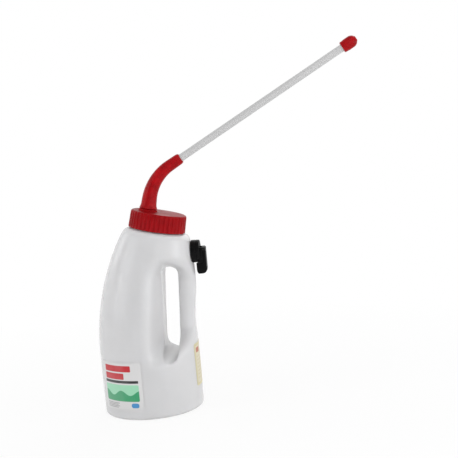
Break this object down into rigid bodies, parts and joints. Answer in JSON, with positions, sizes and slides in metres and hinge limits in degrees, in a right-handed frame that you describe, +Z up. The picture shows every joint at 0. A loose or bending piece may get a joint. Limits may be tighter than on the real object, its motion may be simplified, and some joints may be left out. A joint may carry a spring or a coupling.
{
  "type": "livestock drencher",
  "caption": "Hand-held livestock drencher: translucent jug with a through-handle and thumb air valve, screw cap, bent spout and a long dosing tube with a rounded tip.",
  "frame": {"origin": "centre of the round base, on the surface that it stands on", "axes": "+Z up, +X from the front towards the handle and the tube's tip, +Y across the handle"},
  "size_m": [0.4517, 0.1598, 0.5666],
  "materials": {
    "bottle_plastic": "translucent, smooth blow-moulded",
    "red_plastic": "glossy moulded",
    "black_plastic": "fine moulded texture",
    "tube_plastic": "translucent, smooth",
    "stem_plastic": "smooth",
    "liner_foam": "matt",
    "rubber": "matt",
    "steel": "bright drawn",
    "front_label": "printed film",
    "rear_label": "printed film"
  },
  "bodies": {
    "bottle": {"bottle": "bottle_plastic", "front_label": "front_label", "rear_label": "rear_label", "vent_gasket": "rubber", "vent_housing": "black_plastic", "vent_nut": "black_plastic", "vent_pin": "steel", "vent_spring": "steel"},
    "liner": {"cap_liner": "liner_foam"},
    "cap": {"screw_cap": "red_plastic", "spout_elbow": "red_plastic", "spout_washer": "rubber", "spout_nut": "red_plastic", "tube_seal": "rubber"},
    "tube": {"probe_tube": "tube_plastic"},
    "tip": {"probe_tip": "red_plastic"},
    "lever": {"vent_lever": "black_plastic"},
    "plunger": {"vent_plunger": "stem_plastic", "vent_seal": "rubber", "vent_button": "black_plastic"}
  },
  "joints": [
    {"name": "cap_lift", "type": "slide", "parent": "bottle", "child": "liner", "axis": [0.225, 0, 0.9744], "range_m": [0, 0.0091]},
    {"name": "cap_turn", "type": "hinge", "parent": "liner", "child": "cap", "pos_m": [0.0305, 0, 0.2905], "axis": [0.225, 0, 0.9744], "range_deg": [0, 540]},
    {"name": "tube_pull", "type": "slide", "parent": "cap", "child": "tube", "axis": [0.8746, 0, 0.4848], "range_m": [0, 0.02]},
    {"name": "tip_pull", "type": "slide", "parent": "tube", "child": "tip", "axis": [0.8746, 0, 0.4848], "range_m": [0, 0.016]},
    {"name": "lever_press", "type": "hinge", "parent": "bottle", "child": "lever", "pos_m": [0.1028, 0, 0.2534], "axis": [0, 1, 0], "range_deg": [0, 5], "stiffness_Nm_per_rad": 1.5, "springref_deg": -2.86},
    {"name": "plunger_push", "type": "slide", "parent": "bottle", "child": "plunger", "axis": [-1, 0, 0], "range_m": [0, 0.00065], "deforming": ["vent_spring"]}
  ],
  "couplings": [
    {"joint": "cap_lift", "follows": "cap_turn", "m_per_rad": 0.00095493},
    {"joint": "plunger_push", "follows": "lever_press", "m_per_rad": 0.0074}
  ]
}
